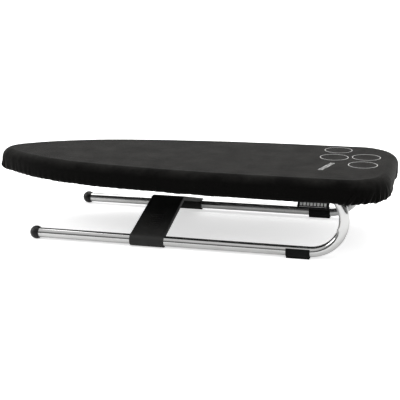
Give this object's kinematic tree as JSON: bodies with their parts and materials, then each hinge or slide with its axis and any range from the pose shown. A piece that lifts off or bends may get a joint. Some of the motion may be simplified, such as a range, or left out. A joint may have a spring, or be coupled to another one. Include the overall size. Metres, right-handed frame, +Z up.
{
  "type": "table-top ironing board",
  "caption": "Low ironing board with a tapered padded top in a dark cloth cover, cantilevered on C-shaped chromed tubes tied by an arched crossbar.",
  "frame": {"origin": "on the table surface under the middle of the board (centre of the bounding box's bottom)", "axes": "+X along the board towards its square tail, +Y across the board to the left of +X, +Z up from the table"},
  "size_m": [0.7499, 0.3, 0.142],
  "materials": {
    "cover_cloth": "matt black woven cotton, slightly heat-reflecting",
    "hem_band": "ribbed elastic band",
    "felt": "needled felt",
    "tray_steel": "grey powder coat",
    "chrome_tube": "bright chrome plate",
    "clamp_steel": "zinc plated",
    "black_plastic": "fine moulded grain",
    "cap_rubber": "satin",
    "foot_rubber": "matt",
    "label_film": "glossy printed film"
  },
  "bodies": {
    "root": {"cover": "cover_cloth", "hem_elastic": "hem_band", "felt_pad": "felt", "tray": "tray_steel", "centre_stringer": "tray_steel", "front_brace": "tray_steel", "rear_brace": "tray_steel", "crossbar": "black_plastic", "tube_label": "label_film", "clamp_rivets": "clamp_steel", "near_leg_tube": "chrome_tube", "near_ball_cap": "cap_rubber", "near_end_plug": "cap_rubber", "near_foot_pad": "foot_rubber", "near_front_clamp": "clamp_steel", "near_rear_clamp": "clamp_steel", "far_leg_tube": "chrome_tube", "far_ball_cap": "cap_rubber", "far_end_plug": "cap_rubber", "far_foot_pad": "foot_rubber", "far_front_clamp": "clamp_steel", "far_rear_clamp": "clamp_steel"}
  },
  "joints": []
}
